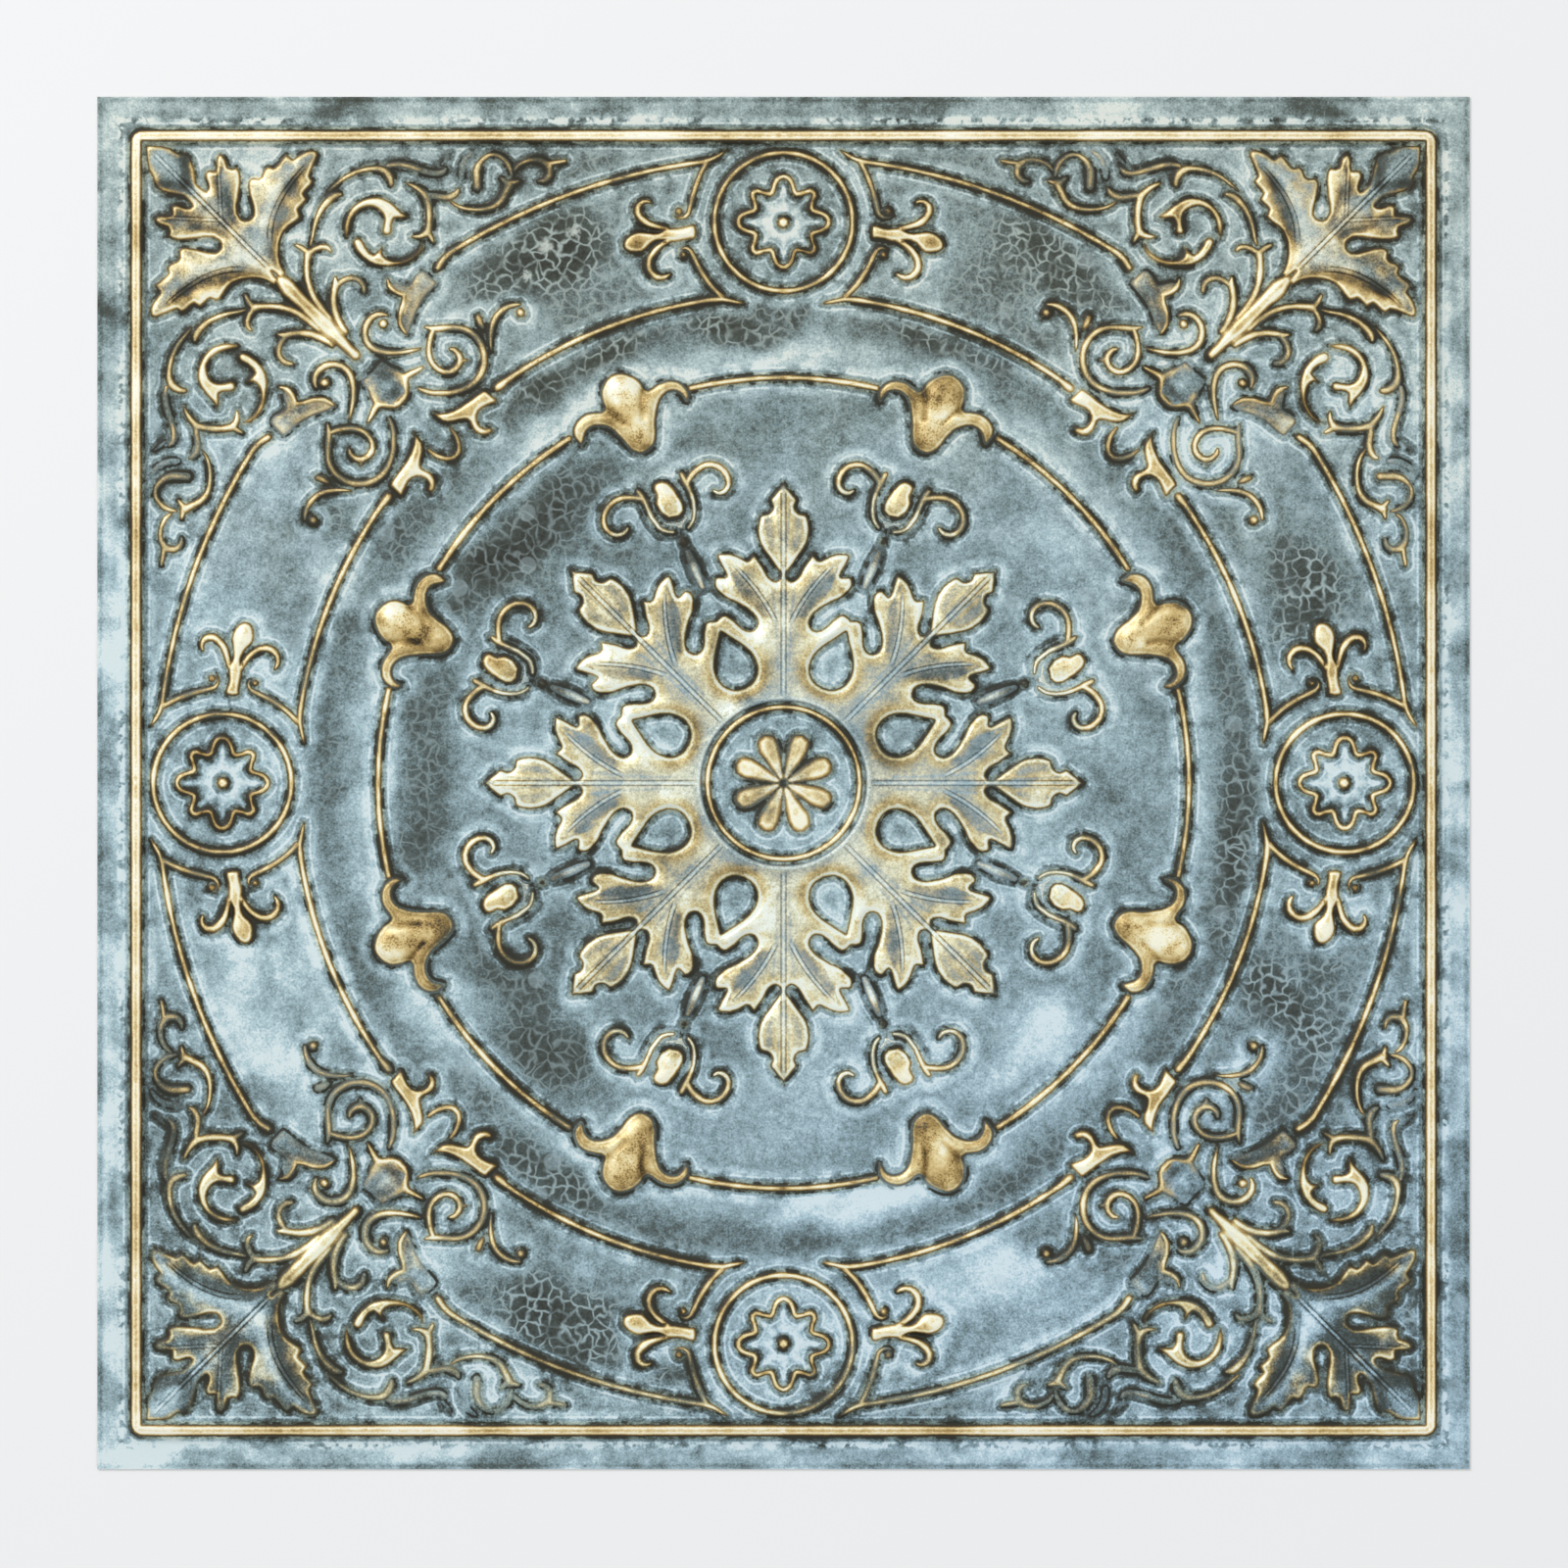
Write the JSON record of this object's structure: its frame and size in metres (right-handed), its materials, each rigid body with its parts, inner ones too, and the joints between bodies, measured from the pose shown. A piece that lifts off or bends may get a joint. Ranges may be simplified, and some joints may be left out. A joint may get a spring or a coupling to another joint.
{
  "type": "ceiling tile",
  "caption": "Square thermoformed lay-in ceiling tile with embossed rosette, ring mouldings, roundels and corner scrolls inside a roll border.",
  "frame": {"origin": "middle of the plane that the underside of the flat margin rests on", "axes": "+Z out of the decorated face, X and Y along the tile's sides"},
  "size_m": [0.603, 0.603, 0.0074],
  "materials": {
    "painted_sheet": "hand-rubbed blue-grey wash with dark recesses and pale gold highlights on the raised ornament"
  },
  "bodies": {
    "root": {"ceiling_tile": "painted_sheet"}
  },
  "joints": []
}
